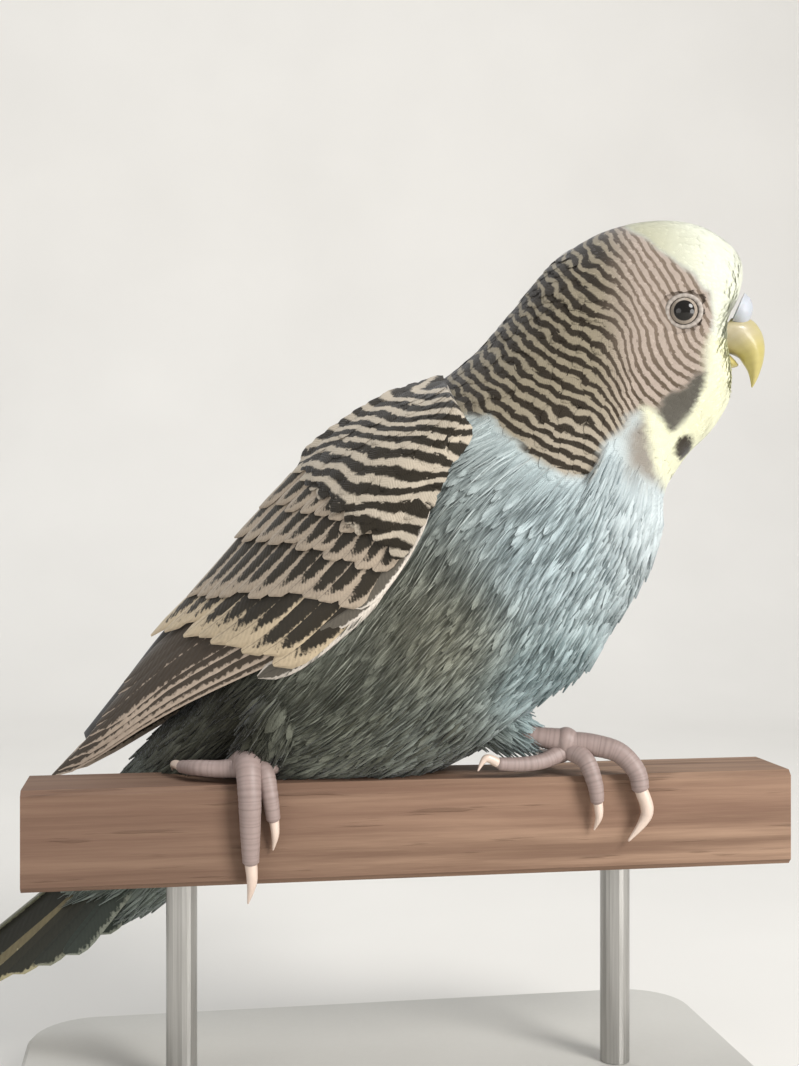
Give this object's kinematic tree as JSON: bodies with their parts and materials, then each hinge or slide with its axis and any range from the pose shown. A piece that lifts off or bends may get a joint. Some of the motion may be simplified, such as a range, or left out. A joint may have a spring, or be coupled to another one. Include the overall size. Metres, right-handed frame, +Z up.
{
  "type": "budgerigar",
  "caption": "Life-size still model of a grey-blue budgerigar with barred wings, perched side-on on a short cut length of square wooden perch, on a plain flat stand.",
  "frame": {"origin": "centre of the underside of the stand's base", "axes": "+Z up; +X along the perch, towards the side the bird faces; -Y towards the viewer of the picture, whose side shows the bird's right flank"},
  "size_m": [0.1489, 0.076, 0.1554],
  "materials": {
    "bill": "satin",
    "cere": "matte",
    "claw": "satin",
    "eye": "gloss",
    "foot": "scaly matte",
    "head": "soft matte feathers",
    "leg": "downy matte",
    "neck": "soft matte feathers",
    "perch": "worn bare wood",
    "stand": "stained matte",
    "rod": "matte dark",
    "tail": "soft matte feathers",
    "torso": "soft matte feathers",
    "wing": "soft matte feathers"
  },
  "bodies": {
    "root": {"bill_lower": "bill", "bill_upper": "bill", "cere": "cere", "claw_left_front_inner": "claw", "claw_left_front_outer": "claw", "claw_left_hind_inner": "claw", "claw_left_hind_outer": "claw", "claw_right_front_inner": "claw", "claw_right_front_outer": "claw", "claw_right_hind_inner": "claw", "claw_right_hind_outer": "claw", "eye_left": "eye", "eye_right": "eye", "foot_left": "foot", "foot_right": "foot", "head": "head", "leg_left": "leg", "leg_right": "leg", "neck": "neck", "perch": "perch", "stand_base": "stand", "stand_rod_1": "rod", "stand_rod_2": "rod", "tail": "tail", "torso": "torso", "wing_left": "wing", "wing_right": "wing"}
  },
  "joints": []
}
